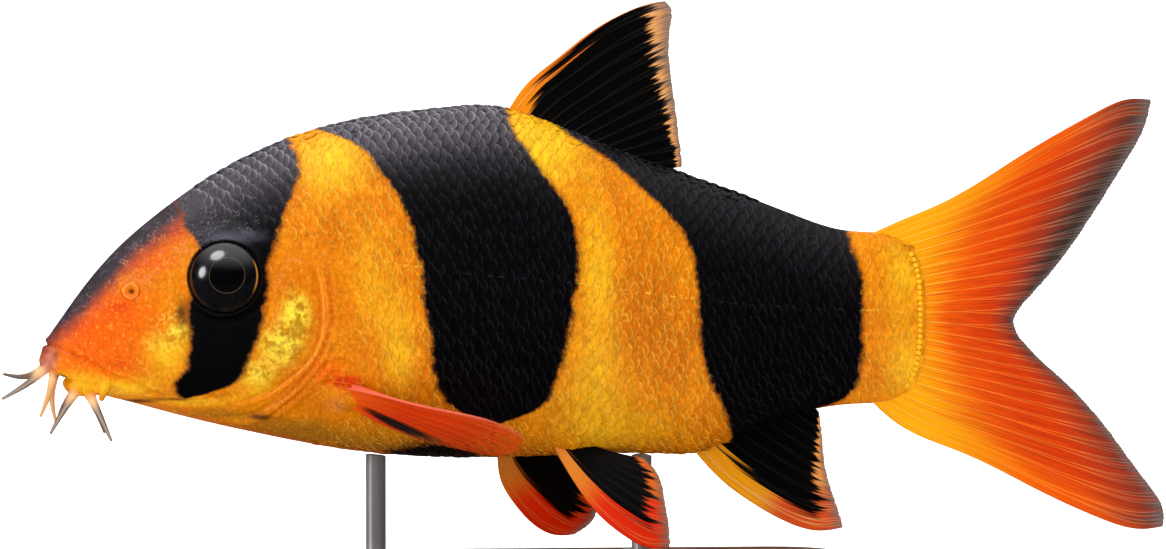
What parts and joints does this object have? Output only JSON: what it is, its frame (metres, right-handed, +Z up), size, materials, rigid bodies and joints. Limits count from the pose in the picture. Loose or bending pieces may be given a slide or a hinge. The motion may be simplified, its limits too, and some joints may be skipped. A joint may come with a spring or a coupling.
{
  "type": "clown loach display model",
  "caption": "Still life-size clown loach, swimming level with fins spread and barbels forward, held by short steel rods on a flat wooden base.",
  "frame": {"origin": "centre of the underside of the stand's base, on the surface that it stands on", "axes": "+X from the fish's head to its tail, +Y to the fish's right side, +Z up"},
  "size_m": [0.1753, 0.06, 0.0926],
  "materials": {
    "skin_orange": "moist scaled skin, orange",
    "skin_black": "moist scaled skin, black",
    "fin_red": "red fin with pale rays",
    "fin_black": "black fin with an orange edge",
    "barbel": "soft skin, pale at the root and grey to the tip",
    "eye": "wet black with a thin gold ring",
    "stand_wood": "oiled walnut",
    "stand_steel": "satin"
  },
  "bodies": {
    "root": {"head": "skin_orange", "gill_cover_left": "skin_orange", "gill_cover_right": "skin_orange", "shoulder": "skin_black", "trunk": "skin_orange", "tail_stem": "skin_black", "tail_fin_upper": "fin_red", "tail_fin_lower": "fin_red", "dorsal_fin": "fin_black", "anal_fin": "fin_black", "pectoral_fin_left": "fin_red", "pectoral_fin_right": "fin_red", "pelvic_fin_left": "fin_black", "pelvic_fin_right": "fin_black", "barbel_rostral_outer_left": "barbel", "barbel_rostral_outer_right": "barbel", "barbel_rostral_inner_left": "barbel", "barbel_rostral_inner_right": "barbel", "barbel_mandibular_left": "barbel", "barbel_mandibular_right": "barbel", "barbel_maxillary_left": "barbel", "barbel_maxillary_right": "barbel", "eye_left": "eye", "eye_right": "eye", "stand_base": "stand_wood", "stand_rod_front": "stand_steel", "stand_rod_rear": "stand_steel"}
  },
  "joints": []
}
